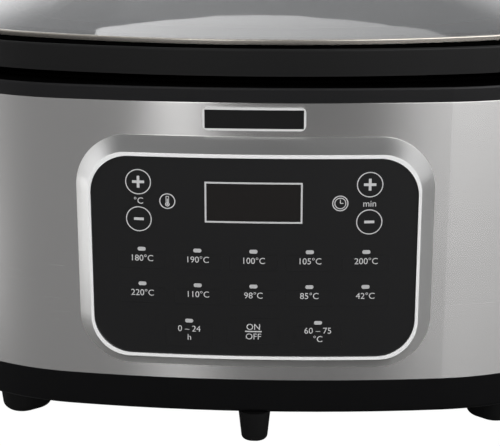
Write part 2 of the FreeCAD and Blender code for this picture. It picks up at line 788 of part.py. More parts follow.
cover = front_pad("panel_cover", 121, 123, lambda sk: add_rrect(
    sk, 0, mid_z, D.fascia_w - 0.4, D.fascia_t - 0.4, D.fascia_corner - 0.2))
boss_sketch = new_sketch(cover, "XZ", 123)
for sx, sz in board_spots:
    add_circle(boss_sketch, dim(63.5 * sx), mid_z + dim(36.5 * sz), 4)
pad(cover, boss_sketch, D.board_front - 1.6 - 123)
bore_sketch = new_sketch(cover, "XZ", 121)
for sx, sz in board_spots:
    add_circle(bore_sketch, dim(63.5 * sx), mid_z + dim(36.5 * sz), 1.6)
pocket(cover, bore_sketch, 10, True)
keep_node(cover, "panel_cover")

members = []
for k, (sx, sz) in enumerate(board_spots):
    screw = front_pad("panel_screw_%d" % k, 122, D.board_front + 0.05, lambda sk: add_circle(
        sk, dim(63.5 * sx), mid_z + dim(36.5 * sz), 1.5))
    head = new_sketch(screw, "XZ", D.board_front + 0.05)
    add_circle(head, dim(63.5 * sx), mid_z + dim(36.5 * sz), 2.8)
    pad(screw, head, 1.8)
    members.append(screw)
keep_node(group("panel_screws", members), "panel_screws")

badge_drum = drum("badge_drum", D.body_front_r + 1)
badge_rim_drum = drum("badge_rim_drum", D.body_front_r + 1.4)
badge_block = front_pad("badge_block", 120, 150, lambda sk: add_rrect(
    sk, 0, D.badge_z, D.badge_w, D.badge_t, 2.6))
badge_cut = combine("Part::Common", "badge_front", badge_block, badge_drum)
rim_block = front_pad("badge_rim_block", 120, 150, lambda sk: (
    add_rrect(sk, 0, D.badge_z, D.badge_w, D.badge_t, 2.6),
    add_rrect(sk, 0, D.badge_z, D.badge_w - 2, D.badge_t - 2, 1.6)))
rim_cut = combine("Part::Common", "badge_rim", rim_block, badge_rim_drum)
badge_all = combine("Part::Fuse", "badge_all", badge_cut, rim_cut)
keep_node(combine("Part::Cut", "badge_plate", badge_all, steel_drum), "badge_plate")

# rear: mains inlet, pins, power board

rear_drum = drum("rear_drum", D.body_front_r, True)
rear_out = D.body_half_d + D.bezel_rise
inlet_plate = new_body("inlet_plate")
sk = new_sketch(inlet_plate, "XZ", dim(0) - rear_out)
add_rrect(sk, 0, D.inlet_z, 58, 42, 6)
pad(inlet_plate, sk, 30)
inlet_flange = combine("Part::Cut", "inlet_flange", inlet_plate, rear_drum)
inlet_neck = new_body("inlet_neck")
sk = new_sketch(inlet_neck, "XZ", dim(0) - rear_out + 4)
add_rrect(sk, 0, D.inlet_z, 40, 28, 4)
pad(inlet_neck, sk, 19)
inlet_solid = combine("Part::Fuse", "inlet_solid", inlet_flange, inlet_neck)
inlet_well = new_body("inlet_well")
sk = new_sketch(inlet_well, "XZ", dim(0) - rear_out - 1)
add_rrect(sk, 0, D.inlet_z, 27, 20, 3)
pad(inlet_well, sk, 18)
keep_node(combine("Part::Cut", "inlet_socket", inlet_solid, inlet_well), "inlet_socket")

members = []
for k, (px, pz) in enumerate(((-7, -4), (7, -4), (0, 4))):
    pin = new_body("inlet_pin_%d" % k)
    sk = new_sketch(pin, "XZ", dim(0) - rear_out + 2.5)
    add_rrect(sk, px, D.inlet_z + pz, 2, 4, 0.4)
    pad(pin, sk, 14.5)
    members.append(pin)
keep_node(group("inlet_pins", members), "inlet_pins")

power = new_body("power_board")
sk = new_sketch(power, "XY", 24)
add_rrect(sk, 0, 83, 76, 46, 2)
pad(power, sk, 1.6)
sk = new_sketch(power, "XY", 25.6)
add_rrect(sk, -20, 83, 20, 16, 1)
add_rrect(sk, 16, 83, 26, 22, 1)
pad(power, sk, 8)
keep_node(power, "power_board")

# pot, handles, handle screws

pot = new_body("cooking_pot")
oval_pad(pot, D.plate_top, D.rim_top, "pot", D.pot_inset)
oval_pad(pot, D.rim_top - 4, D.rim_top, "pot", 0)
oval_pad(pot, D.skirt_bottom, D.rim_top - 2, "pot", 0, 3)
hollow = oval_pocket(pot, D.plate_top + 4, D.rim_top, "pot", D.pot_inset + D.pot_wall)
# a notch in the skirt at each end takes the handle's tongue and stops short of the pot's wall
for end in (-260, 260):
    notch = new_sketch(pot, "YZ", end)
    add_box(notch, 0, D.skirt_bottom + 3, 32.4, 11)
    notched = pocket(pot, notch, 90, end < 0)
round_edges(pot, notched, 15, outer_at(D.plate_top.value, "pot", D.pot_inset.value))
pot_a = pot.Tip
round_edges(pot, pot_a, 12, outer_at(
    D.plate_top.value + 4, "pot", D.pot_inset.value + D.pot_wall.value))
pot_b = pot.Tip
round_edges(pot, pot_b, 1, outer_at(D.rim_top.value, "pot"))
screw_spots = [(sx * 179, sy * 8) for sx in (-1, 1) for sy in (-1, 1)]
drill(pot, D.rim_top - 4.5, D.rim_top - 1.2, 1.9, screw_spots)
keep_node(pot, "cooking_pot")

rim_prism = new_body("rim_prism")
oval_pad(rim_prism, D.skirt_bottom - 10, D.rim_top + 10, "pot", 0)
for side, sx in (("left", -1), ("right", 1)):
    grip = new_body("grip_" + side)
    sk = new_sketch(grip, "XY", D.skirt_bottom)
    middle = (D.handle_reach + 160) / 2
    add_rrect(sk, middle * sx, 0, D.handle_reach - 160, D.handle_half * 2, 18)
    add_rrect(sk, (D.handle_reach - 24.5) * sx, 0, 19, D.handle_half * 2 - 30, 6)
    grip_pad = pad(grip, sk, 12)
    round_edges(grip, grip_pad, 3, lambda e: level(e, D.skirt_bottom.value)
                or level(e, D.skirt_bottom.value + 12))
    grip_cut = combine("Part::Cut", "grip_cut_" + side, grip, rim_prism)
    tongue = new_body("tongue_" + side)
    sk = new_sketch(tongue, "XY", D.rim_top - 8)
    add_rrect(sk, 183 * sx, 0, 22, 32, 3)
    pad(tongue, sk, 4)
    drill(tongue, D.rim_top - 9, D.rim_top - 4, 2, [s for s in screw_spots if s[0] * sx > 0])
    handle = combine("Part::Fuse", "pot_handle_" + side, grip_cut, tongue)
    keep_node(handle, "pot_handle_" + side)

members = []
for k, (px, py) in enumerate(screw_spots):
    screw = new_body("handle_screw_%d" % k)
    disc(screw, D.rim_top - 10, D.rim_top - 8, 3.5, px, py)
    disc(screw, D.rim_top - 8, D.rim_top - 1.5, 1.8, px, py)
    sk = new_sketch(screw, "XY", D.rim_top - 9.2)
    add_box(sk, px, py, 5, 1)
    pocket(screw, sk, 2)
    members.append(screw)
keep_node(group("handle_screws", members), "handle_screws")

# lid: rim, glass, knob, vent

lid_rim = new_body("lid_rim")
oval_pad(lid_rim, D.rim_top + 0.4, D.lid_edge_top, "lid", 0, 1.2)
oval_pad(lid_rim, D.rim_top + 1.1, D.rim_top + 1.6, "lid", 0, 26, "pot")
oval_pad(lid_rim, D.rim_top, D.rim_top + 1.2, "lid", 3.5, 26, "pot")
lid_last = oval_pad(lid_rim, D.rim_top - 6, D.rim_top + 0.5, "pot", 26, 27.2)
round_edges(lid_rim, lid_last, 0.5, outer_at(D.lid_edge_top.value, "lid"))
keep_node(lid_rim, "lid_rim")

glass_low = D.rim_top + 1.6
scales = (0.99, 0.93, 0.82, 0.66, 0.46, 0.22)


def dome(body, kind, drop, shrink):
    """Loft of scaled ovals under a dome curve."""
    sections = []
    for s in scales:
        lift = 1 - (s / 0.99) ** 2
        z = glass_low + D.dome_rise * lift - drop
        if s == scales[0]:
            z = glass_low
        sk = new_sketch(body, "XY", z)
        add_oval(sk, "lid", 0, s - shrink)
        sk.Visibility = False
        sections.append(sk)
    loft = body.newObject("PartDesign::" + kind, body.Name + "_loft")
    loft.Profile = sections[0]
    loft.Sections = sections[1:]
    loft.Ruled = False
    return loft


glass_out = new_body("glass_outer")
dome(glass_out, "AdditiveLoft", 0, 0)
glass_in = new_body("glass_inner")
dome(glass_in, "AdditiveLoft", D.glass_wall, 0.022)
glass = combine("Part::Cut", "glass_dome", glass_out, glass_in)
glass_bores = new_body("glass_bores")
disc(glass_bores, D.rim_top, D.rim_top + 60, 3.4)
disc(glass_bores, D.rim_top + 2, D.rim_top + 60, 4.3, 0, 62)
keep_node(combine("Part::Cut", "lid_glass", glass, glass_bores), "lid_glass")

top_z = glass_low + D.dome_rise * (1 - (scales[-1] / 0.99) ** 2)
knob_plate = new_body("knob_plate")
plate_last = disc(knob_plate, top_z, top_z + 2.5, 22, 0, 0, 2.7)
round_edges(knob_plate, plate_last, 1, lambda e: level(e, top_z.value + 2.5, 60))
keep_node(knob_plate, "knob_plate")

knob = new_body("lid_knob")
knob_base = disc(knob, top_z + 2.5, top_z + 14, 15)
knob_cap = disc(knob, top_z + 12, top_z + 34, 25)
drill(knob, top_z + 2.5, top_z + 20, 2.6, [(0, 0)])
knob_tip = knob.Tip
round_edges(knob, knob_tip, 8, lambda e: level(e, top_z.value + 34))
knob_mid = knob.Tip
round_edges(knob, knob_mid, 5, lambda e: level(e, top_z.value + 12, 60)
            and e.BoundBox.XLength > 45)
keep_node(knob, "lid_knob")

knob_washer = new_body("knob_washer")
disc(knob_washer, top_z - D.glass_wall - 1.5, top_z - D.glass_wall, 9, 0, 0, 2.7)
keep_node(knob_washer, "knob_washer")

knob_screw = new_body("knob_screw")
disc(knob_screw, top_z - D.glass_wall - 4, top_z - D.glass_wall - 1.5, 5.5)
screw_last = disc(knob_screw, top_z - D.glass_wall - 1.5, top_z + 18, 2.5)
sk = new_sketch(knob_screw, "XY", top_z - D.glass_wall - 2.6)
add_box(sk, 0, 0, 7, 1.2)
pocket(knob_screw, sk, 3)
keep_node(knob_screw, "knob_screw")

vent = new_body("steam_vent")
vent_scale = 62 / D.lid_half_d.value
vent_z = glass_low + D.dome_rise * (1 - (vent_scale / 0.99) ** 2)
disc(vent, vent_z - 8, vent_z + 3.2, 4.2, 0, 62, 2.2)
vent_last = disc(vent, vent_z + 2, vent_z + 3.8, 7.5, 0, 62, 2.2)
round_edges(vent, vent_last, 0.8, lambda e: level(e, vent_z.value + 3.8, 20))
keep_node(vent, "steam_vent")

doc.recompute()

# checks and export

bad = []
for obj in doc.Objects:
    if "Invalid" in obj.State or "Error" in obj.State:
        bad.append(obj.Name + " " + str(obj.State))
for node in nodes:
    shape = node.Shape
    if shape.isNull() or not shape.isValid() or not shape.Solids or shape.Volume <= 0:
        bad.append(node.Label + " shape")
if bad:
    raise RuntimeError("; ".join(bad))
os.makedirs("parts", exist_ok=True)
for node in nodes:
    node.Shape.exportStep("parts/%s.step" % node.Label)
    print("%-20s solids %2d volume %10.1f" % (node.Label, len(node.Shape.Solids), node.Shape.Volume))
print("nodes", len(nodes))
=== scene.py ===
import json
import math

import bmesh
import bpy
from bpy.props import FloatProperty, FloatVectorProperty, PointerProperty
from mathutils import Matrix, Vector


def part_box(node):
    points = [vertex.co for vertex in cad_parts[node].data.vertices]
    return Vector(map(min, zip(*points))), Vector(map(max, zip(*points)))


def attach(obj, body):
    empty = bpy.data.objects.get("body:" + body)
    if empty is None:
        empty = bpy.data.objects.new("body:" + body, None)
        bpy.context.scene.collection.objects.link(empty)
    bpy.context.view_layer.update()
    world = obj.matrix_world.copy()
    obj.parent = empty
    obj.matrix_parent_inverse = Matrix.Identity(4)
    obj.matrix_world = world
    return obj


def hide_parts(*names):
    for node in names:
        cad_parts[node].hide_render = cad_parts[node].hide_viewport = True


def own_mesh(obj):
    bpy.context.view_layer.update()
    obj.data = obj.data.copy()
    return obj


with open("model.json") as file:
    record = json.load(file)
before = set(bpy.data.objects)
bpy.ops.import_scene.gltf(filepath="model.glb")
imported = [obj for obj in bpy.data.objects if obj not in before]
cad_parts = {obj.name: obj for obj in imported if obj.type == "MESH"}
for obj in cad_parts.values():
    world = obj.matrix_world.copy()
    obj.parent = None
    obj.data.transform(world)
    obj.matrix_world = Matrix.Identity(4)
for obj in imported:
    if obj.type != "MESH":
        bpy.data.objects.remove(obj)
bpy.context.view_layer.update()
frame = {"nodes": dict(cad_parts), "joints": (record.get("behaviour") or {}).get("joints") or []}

bl_info = {
    "name": "Oval multicooker",
    "version": (1, 0, 0),
    "blender": (4, 5, 0),
    "location": "View3D > Sidebar > Cooker",
    "description": "Finishes, panel prints and studio for the oval multicooker",
    "category": "Object",
}

NODES = frame["nodes"]
HOUSING = "housing"
KEYS = [name for name in NODES if name.startswith("key_")]
FEET = [name for name in NODES if name.startswith("foot_")]

# the panel is an upright cylinder about this axis, and prints lie just off its face
PANEL_AXIS_Y = 0.515
FASCIA_RADIUS = PANEL_AXIS_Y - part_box("panel_fascia")[0].y
LIP_RADIUS = PANEL_AXIS_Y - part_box("panel_bezel")[0].y
LIP_DEPTH = 0.0002

# surfaces past these heights lie in the narrow gaps between ring, pot and lid, and painted shade
# makes them black
POT_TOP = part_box("cooking_pot")[1].z
RING_GAP_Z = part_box("top_ring")[1].z - 0.0005
WELL_GAP_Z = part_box("heater_well")[1].z - 0.0112
POT_GAP_Z = POT_TOP - 0.00005
LID_GAP_Z = POT_TOP + 0.00035

# the pot is speckled below its rim
SPECKLE_Z = POT_TOP - 0.0135

ROUND_KEYS = ("key_up_left", "key_down_left", "key_up_right", "key_down_right")
LEGENDS = {
    "upper": ("180°C", "190°C", "100°C", "105°C", "200°C"),
    "lower": ("220°C", "110°C", "98°C", "85°C", "42°C"),
}
LOW_LEGENDS = {
    "key_delay": ("0 – 24", "h"),
    "key_power": ("ON", "OFF"),
    "key_warm": ("60 – 75", "°C"),
}

# strokes of the two pictograms: x, y, width and height
THERMOMETER_STROKES = (
    (0.0, 0.0001, 0.00045, 0.0022),
    (-0.0006, 0.0009, 0.0003, 0.0027),
    (0.0006, 0.0009, 0.0003, 0.0027),
    (0.0, 0.0023, 0.0015, 0.0003),
)
CLOCK_HANDS = ((0.0, 0.0009, 0.0004, 0.0018), (0.0007, 0.0, 0.0014, 0.0004))

# capital height as a share of the lettering's size
CAPITAL_SHARE = 0.729

RING_SEGMENTS = 56
BULB_SEGMENTS = 28
BAR_SEGMENTS = 12
MERGE_DISTANCE = 1e-6
SMOOTH_BELOW = math.radians(30)

BOARD_DARK = (0.012, 0.09, 0.035)
BOARD_GREEN = (0.02, 0.14, 0.055)
BOARD_TRACK = (0.05, 0.25, 0.10)
BADGE_BLACK = ((0.004, 0.004, 0.004), (0.006, 0.006, 0.006))
# black of the painted shade put on surfaces in the narrow gaps between parts
PAINTED_SHADE_BLACK = (0.001, 0.001, 0.001, 1.0)
WHITE = (1.0, 1.0, 1.0, 1.0)

# the room's panels, in degrees from the front with right positive: where each begins and ends
DARK_BAND = ((-8.0, -3.0), (9.0, 15.0))
RIGHT_BAND = ((12.0, 22.0), (60.0, 85.0))
STRIP_BAND = ((-16.0, -14.0), (-9.5, -7.0))
LEFT_EDGE = (-75.0, -45.0)
BACK_EDGE = (125.0, 150.0)

# the panels' upper edges and the darker ceiling, as the upright share of a direction
CEILING_EDGE = (0.45, 0.9)
PANEL_TOP = (0.6, 0.9)
LEFT_TOP = (0.45, 0.95)
BACK_TOP = (0.5, 0.8)

# share of the overhead lamp's strength that is left at its weaker end
WEAK_END = 0.38

# a pale card on the floor to the left of the cooker
CARD_X = (-0.34, -0.22)
CARD_Y = (-0.32, -0.2)
FLOOR_HALF = 6.0
FLOOR_GLOW = 1.12
FLOOR_GLOW_SHARE = 0.9

PHOTO_WIDTH = 500
SENSOR_WIDTH = 36.0


# user values


def length(name, default, description):
    """A length in metres."""
    return FloatProperty(name=name, description=description, default=default,
                         subtype="DISTANCE", unit="LENGTH", precision=5)


def colour(name, default, description):
    """A linear colour."""
    return FloatVectorProperty(name=name, description=description, size=3,
                               default=default, subtype="COLOR", min=0.0, max=1.0)


def share(name, default, description):
    """A number from 0 to 1."""
    return FloatProperty(name=name, description=description, default=default,
                         subtype="FACTOR", min=0.0, max=1.0)


def strength(name, default, description):
    """Brightness of a light, where 1 is white."""
    return FloatProperty(name=name, description=description, default=default, min=0.0)


def power(name, default, description):
    """Power of a lamp in watts."""
    return FloatProperty(name=name, description=description, default=default, min=0.0,
                         unit="POWER")


class CookerFinishes(bpy.types.PropertyGroup):
    """Colours and gloss of the cooker's surfaces."""

    steel: colour("Shell steel", (0.565, 0.558, 0.548), "Brushed steel of the shell")
    steel_gloss: share("Shell roughness", 0.25, "Roughness along the brushing")
    housing: colour("Housing black", (0.0045, 0.0045, 0.005), "Base tray and top ring")
    feet: colour("Foot black", (0.004, 0.004, 0.004), "Feet")
    fascia: colour("Fascia black", (0.0042, 0.0042, 0.0045), "Printed film and keys")
    film_gloss: share("Film roughness", 0.40, "Roughness of the film and the key caps")
    window: colour("Display smoke", (0.0052, 0.0040, 0.0034), "Display window, brownish")
    bezel: colour("Bezel silver", (0.92, 0.92, 0.91), "Sloped frame round the panel")
    badge_edge: colour("Badge edge", (0.70, 0.70, 0.69), "Bare edge of the badge plate")
    print_ink: colour("Print grey", (0.60, 0.60, 0.60), "Legends and frames on the film")
    pot: colour("Pot coating", (0.005, 0.005, 0.005), "Non-stick coating")
    handle: colour("Handle black", (0.005, 0.005, 0.005), "Handles and knob")
    # the steel colour is partly real and partly painted: its brownish tint is painted reflection,
    # standing in for the brown-grey band the lid rim mirrors
    rim: colour("Lid steel", (0.62, 0.58, 0.52), "Lid rim, knob plate and vent")
    # the glass grey is partly painted reflection: its diffuse share lightens the lid
    glass: colour("Glass tint", (0.37, 0.375, 0.38), "Lid glass")
    rubber: colour("Washer rubber", (0.02, 0.02, 0.02), "Washer under the knob")
    heater: colour("Cast metal", (0.55, 0.55, 0.54), "Heating plate and reflector")
    enamel: colour("Well enamel", (0.012, 0.012, 0.012), "Heater well and mains inlet")
    fastener: colour("Fastener steel", (0.5, 0.5, 0.49), "Screws, spring and element")
    fastener_gloss: share("Fastener roughness", 0.28, "Roughness of screws and spring")
    inner: colour("Inner plastic", (0.45, 0.45, 0.43), "Panel cover, switches and guide")
    display: colour("Display body", (0.02, 0.02, 0.022), "Display module")
    brass: colour("Pin brass", (0.72, 0.62, 0.40), "Mains pins")


class CookerPrints(bpy.types.PropertyGroup):
    """Sizes of the marks printed on the control panel."""

    rise: length("Ink thickness", 0.00006, "Ink above the film")
    ring: length("Key ring", 0.0120, "Outer diameter of a plus or minus ring")
    line: length("Ring line", 0.00046, "Width of a thin printed line")
    stroke: length("Sign stroke", 0.00125, "Width of a plus or minus stroke")
    plus: length("Plus size", 0.0056, "Length of a plus stroke")
    minus: length("Minus size", 0.0046, "Length of a minus stroke")
    digits: length("Legend height", 0.0031, "Height of the legends' capitals")
    lift: length("Legend lift", 0.0013, "Legend above the middle of a programme key")
    time_lift: length("Lower legend lift", 0.0015, "Legend above the middle of a lower key")
    time_lines: length("Lower legend lines", 0.0021, "Lines of a lower legend from its middle")
    power_lines: length("Switch legend lines", 0.0024, "ON and OFF from their middle")
    power_bar: length("Switch bar", 0.0078, "Bar between ON and OFF")
    power_line: length("Switch bar line", 0.0006, "Width of that bar")
    window_w: length("Frame width", 0.0448, "Display frame, outside")
    window_t: length("Frame height", 0.0194, "Display frame, outside")
    window_line: length("Frame line", 0.00080, "Width of the display frame line")
    icon: length("Pictogram size", 0.0074, "Diameter of the two pictograms")
    icon_x: length("Pictogram place", 0.0396, "Pictograms from the middle")
    icon_line: length("Inner line", 0.0004, "Width of a line within a pictogram")
    bulb: length("Bulb size", 0.0021, "Diameter of the thermometer's bulb")
    bulb_drop: length("Bulb drop", 0.00145, "Bulb below the pictogram's middle")
    bulb_core: length("Bulb core", 0.0009, "Diameter of the disc in the bulb")
    dial_inset: length("Dial inset", 0.0020, "Clock's dial smaller than its ring")
    cap_growth: length("Cap growth", 0.00008, "Key cap wider on each side than its solid")


class CookerStudio(bpy.types.PropertyGroup):
    """Camera, lamps and room."""

    eye: FloatVectorProperty(name="Camera place", description="Camera in metres", size=3,
                             default=(0.029669, -0.792671, 0.310975), subtype="TRANSLATION")
    turn: FloatProperty(name="Camera turn", description="Turn about the upright",
                        default=0.048, subtype="ANGLE")
    tilt: FloatProperty(name="Camera tilt", description="Look below the horizon",
                        default=0.295, subtype="ANGLE")
    focal: FloatProperty(name="Focal length", description="In photograph pixels",
                         default=1485.08, min=1.0, subtype="PIXEL")
    over: power("Overhead lamp", 1.75, "Lamp above the lid")
    card: power("Card lamp", 8.5, "Lamp on the card to the left")
    room: strength("Room", 0.52, "Grey of the room all round")
    ceiling: strength("Ceiling loss", 0.36, "How much darker the ceiling is")
    dark: strength("Dark panel", 0.28, "How much darker the front is")
    right: strength("Right panel", 2.7, "Panel at the front right")
    strip: strength("Strip light", 3.4, "Narrow panel left of the front")
    left: strength("Left panel", 0.32, "Panel to the left")
    back: strength("Back wall", 0.75, "Wall behind")
    floor: share("Floor grey", 0.31, "Floor as it lights the cooker")
    floor_card: share("Card grey", 0.85, "Card as it lights the cooker")


# shader arithmetic


class Value:
    """A shader socket that takes part in Python arithmetic."""

    def __init__(self, finish, socket):
        self.finish = finish
        self.socket = socket

    def maths(self, operation, first, second=0.0):
        node = self.finish.node("ShaderNodeMath", {"operation": operation},
                                {0: first, 1: second})
        return Value(self.finish, node.outputs[0])

    def __add__(self, other):
        return self.maths("ADD", self, other)

    __radd__ = __add__

    def __sub__(self, other):
        return self.maths("SUBTRACT", self, other)

    def __rsub__(self, other):
        return self.maths("SUBTRACT", other, self)

    def __mul__(self, other):
        return self.maths("MULTIPLY", self, other)

    __rmul__ = __mul__

    def __gt__(self, other):
        return self.maths("GREATER_THAN", self, other)

    def __lt__(self, other):
        return self.maths("LESS_THAN", self, other)

    def size(self):
        return self.maths("ABSOLUTE", self)

    def larger(self, other):
        return self.maths("MAXIMUM", self, other)

    def smaller(self, other):
        return self.maths("MINIMUM", self, other)

    def root(self):
        return self.maths("SQRT", self)


class Finish:
    """A node tree with one method for nodes and a few for common patterns."""

    def __init__(self, tree):
        self.tree = tree
        tree.nodes.clear()

    def node(self, kind, settings=None, sockets=None):
        made = self.tree.nodes.new(kind)
        for key, value in (settings or {}).items():
            setattr(made, key, value)
        for key, value in (sockets or {}).items():
            if isinstance(value, Value):
                self.tree.links.new(value.socket, made.inputs[key])
            else:
                made.inputs[key].default_value = value
        return made

    def out(self, made, key=0):
        return Value(self, made.outputs[key])

    def spot(self, kind="Object"):
        """Texture coordinates."""
        return self.out(self.node("ShaderNodeTexCoord"), kind)

    def parts(self, vector):
        """The three parts of a vector as values."""
        made = self.node("ShaderNodeSeparateXYZ", None, {0: vector})
        return [self.out(made, k) for k in range(3)]

    def axes(self):
        """The three object coordinates as values."""
        return self.parts(self.spot())

    def noise(self, scale, detail=3.0, rough=0.5, stretch=(1.0, 1.0, 1.0)):
        place = self.node("ShaderNodeMapping", None, {"Vector": self.spot(), "Scale": stretch})
        made = self.node("ShaderNodeTexNoise", None, {
            "Vector": self.out(place), "Scale": scale, "Detail": detail, "Roughness": rough})
        return self.out(made)

    def cells(self, scale):
        made = self.node("ShaderNodeTexVoronoi", None, {"Vector": self.spot(), "Scale": scale})
        return self.out(made, "Distance")

    def spread(self, value, low, high, to_low=0.0, to_high=1.0):
        made = self.node("ShaderNodeMapRange", {"clamp": True}, {
            "Value": value, "From Min": low, "From Max": high,
            "To Min": to_low, "To Max": to_high})
        return self.out(made)

    def ease(self, value, low, high):
        """A soft step from 0 to 1."""
        made = self.node("ShaderNodeMapRange", {"interpolation_type": "SMOOTHSTEP"}, {
            "Value": value, "From Min": low, "From Max": high})
        return self.out(made)

    def band(self, value, begin, end):
        """1 between two soft steps."""
        return self.ease(value, *begin) * (1.0 - self.ease(value, *end))

    def tint(self, factor, first, second):
        """Mix of two colours by a value."""
        made = self.node("ShaderNodeMix", {"data_type": "RGBA"}, {0: factor})
        for index, shade in ((6, first), (7, second)):
            if isinstance(shade, Value):
                self.tree.links.new(shade.socket, made.inputs[index])
            else:
                made.inputs[index].default_value = (*shade, 1.0)
        return self.out(made, 2)

    def bump(self, height, amount, distance):
        made = self.node("ShaderNodeBump", None, {
            "Height": height, "Strength": amount, "Distance": distance})
        return self.out(made)

    def seen(self):
        """1 for what the camera sees directly or through glass."""
        path = self.node("ShaderNodeLightPath")
        return self.out(path, "Is Camera Ray").larger(self.out(path, "Is Transmission Ray"))


def shaded(shade, factor):
    """A colour made lighter or darker."""
    return tuple(min(1.0, part * factor) for part in shade)


def grey(level):
    return (level, level, level)


def surface(name, constants, varying, painted_gap_shade=None):
    """A Principled material; varying(finish) gives the linked sockets.

    The optional mask is 1 where the surface lies in a narrow gap; painted shade makes it black
    there."""
    material = bpy.data.materials.new(name)
    material.use_nodes = True
    finish = Finish(material.node_tree)
    links = varying(finish)
    look = finish.out(finish.node("ShaderNodeBsdfPrincipled", None, {**constants, **links}))
    # painted shade: where the mask is 1, a black diffuse stands in for the shadow in the gap
    if painted_gap_shade:
        painted_shade_bsdf = finish.node("ShaderNodeBsdfDiffuse", None, {"Color": PAINTED_SHADE_BLACK})
        look = finish.out(finish.node("ShaderNodeMixShader", None, {
            0: painted_gap_shade(finish), 1: look, 2: finish.out(painted_shade_bsdf)}))
    finish.node("ShaderNodeOutputMaterial", None, {"Surface": look})
    return material


def above(height):
    """Marks what lies above a height."""
    return lambda f: f.axes()[2] > height


def below(height):
    """Marks what lies below a height."""
    return lambda f: f.axes()[2] < height


def brushed_steel(name, shade, roughness, stretch):
    """Brushed sheet: fine lines along one direction, with soft cloudiness."""

    def varying(f):
        lines = f.noise(1.0, 4.0, 0.7, stretch)
        lift = f.spread(lines, 0.3, 0.7)
        worn = f.spread(f.noise(9.0, 3.0, 0.55), 0.3, 0.7)
        base = f.tint(lift, shaded(shade, 0.985), shaded(shade, 1.015))
        return {
            "Base Color": f.tint(worn * 0.35, base, shaded(shade, 0.97)),
            "Roughness": roughness - 0.02 + lift * 0.03 + worn * 0.02,
            "Normal": f.bump(lines, 0.01, 0.0001),
        }

    return surface(name, {"Metallic": 1.0, "Anisotropic": 1.0,
                          "Anisotropic Rotation": 0.25}, varying)


def polished_steel(name, shade, roughness, painted_gap_shade=None):
    """Drawn and polished metal with a fine grain and smears."""

    def varying(f):
        smear = f.noise(14.0, 2.0)
        fine = f.noise(2400.0, 2.0)
        return {
            "Base Color": f.tint(fine, shaded(shade, 0.96), shaded(shade, 1.04)),
            "Roughness": roughness + smear * 0.04 + fine * 0.03,
        }

    return surface(name, {"Metallic": 1.0}, varying, painted_gap_shade)


def bezel_finish(name, shade, roughness):
    """Silver plating on the slopes and a bright satin line along the lip."""

    def varying(f):
        x, y, _ = f.axes()
        deep = PANEL_AXIS_Y - y
        lip = (x * x + deep * deep).root() > LIP_RADIUS - LIP_DEPTH
        fine = f.noise(2400.0, 2.0)
        return {
            "Base Color": f.tint(fine, shaded(shade, 0.97), shaded(shade, 1.02)),
            "Metallic": 1.0 - lip * 0.9,
            "Roughness": roughness + fine * 0.03 + lip * 0.1,
        }

    return surface(name, {}, varying)


def moulded_plastic(name, shade, roughness, grain=1600.0, depth=0.10, index=1.46, painted_gap_shade=None):
    """Moulded plastic with a fine grain and a little handling sheen."""

    def varying(f):
        pebble = f.noise(grain, 2.0, 0.55)
        sheen = f.noise(16.0)
        return {
            "Base Color": f.tint(sheen, shaded(shade, 0.85), shaded(shade, 1.15)),
            "Roughness": roughness - 0.04 + sheen * 0.08 + pebble * 0.05,
            "Normal": f.bump(pebble, depth, 0.0002),
        }

    return surface(name, {"IOR": index}, varying, painted_gap_shade)


def pot_coating(name, shade, roughness):
    """Non-stick coating: satin on the rim, a greyer speckle below it, and painted shade (black) on
    its top face under the lid.
    """

    def varying(f):
        grain = f.noise(900.0, 2.0, 0.55)
        fleck = f.spread(f.cells(420.0), 0.12, 0.2, 1.0, 0.0)
        inside = f.axes()[2] < SPECKLE_Z
        spotted = f.tint(fleck, shaded(shade, 4.5), shaded(shade, 12.0))
        return {
            "Base Color": f.tint(inside, shade, spotted),
            "Roughness": roughness + grain * 0.06,
            "Normal": f.bump(grain, 0.12, 0.0002),
        }

    # the flat top face under the lid's rim gets painted shade (black)
    return surface(name, {"IOR": 1.32}, varying, above(POT_GAP_Z))


def film(name, shade, roughness):
    """Satin printed film: an even black with a very fine texture."""

    def varying(f):
        tooth = f.noise(5200.0, 2.0)
        drift = f.noise(12.0, 2.0)
        return {
            "Base Color": f.tint(drift, shaded(shade, 0.92), shaded(shade, 1.08)),
            "Roughness": roughness + tooth * 0.06,
            "Normal": f.bump(tooth, 0.04, 0.0001),
        }

    return surface(name, {"IOR": 1.38}, varying)


def cast_metal(name, shade, roughness):
    """Cast or spun aluminium, slightly grey and grained."""

    def varying(f):
        grain = f.noise(700.0, 4.0, 0.65)
        patch = f.noise(22.0, 3.0, 0.55)
        return {
            "Base Color": f.tint(patch, shaded(shade, 0.8), shaded(shade, 1.05)),
            "Roughness": roughness + patch * 0.12,
            "Normal": f.bump(grain, 0.15, 0.0002),
        }

    return surface(name, {"Metallic": 1.0}, varying)


def board_finish(name):
    """Lacquered circuit board with faint tracks."""

    def varying(f):
        weave = f.noise(400.0, 3.0, 0.6)
        tracks = f.spread(f.cells(160.0), 0.25, 0.3)
        green = f.tint(weave, BOARD_DARK, BOARD_GREEN)
        return {
            "Base Color": f.tint(tracks * 0.5, green, BOARD_TRACK),
            "Roughness": 0.32 + weave * 0.15,
        }

    return surface(name, {"IOR": 1.5}, varying)


def lid_glass(name, shade):
    """Tempered glass, grey and partly diffuse as painted reflection that lightens the lid, with a
    faint wipe on its surface.
    """

    def varying(f):
        wipe = f.noise(30.0, 4.0, 0.6, (1.0, 2.5, 1.0))
        return {
            "Base Color": f.tint(wipe, shaded(shade, 0.94), shade),
            "Roughness": f.spread(wipe, 0.4, 0.8, 0.03, 0.07),
        }

    # the share that is not transmitted is a grey diffuse, painted reflection on the lid
    return surface(name, {"IOR": 1.75, "Transmission Weight": 0.58, "Coat Weight": 1.0,
                          "Coat Roughness": 0.03, "Coat IOR": 1.6}, varying)


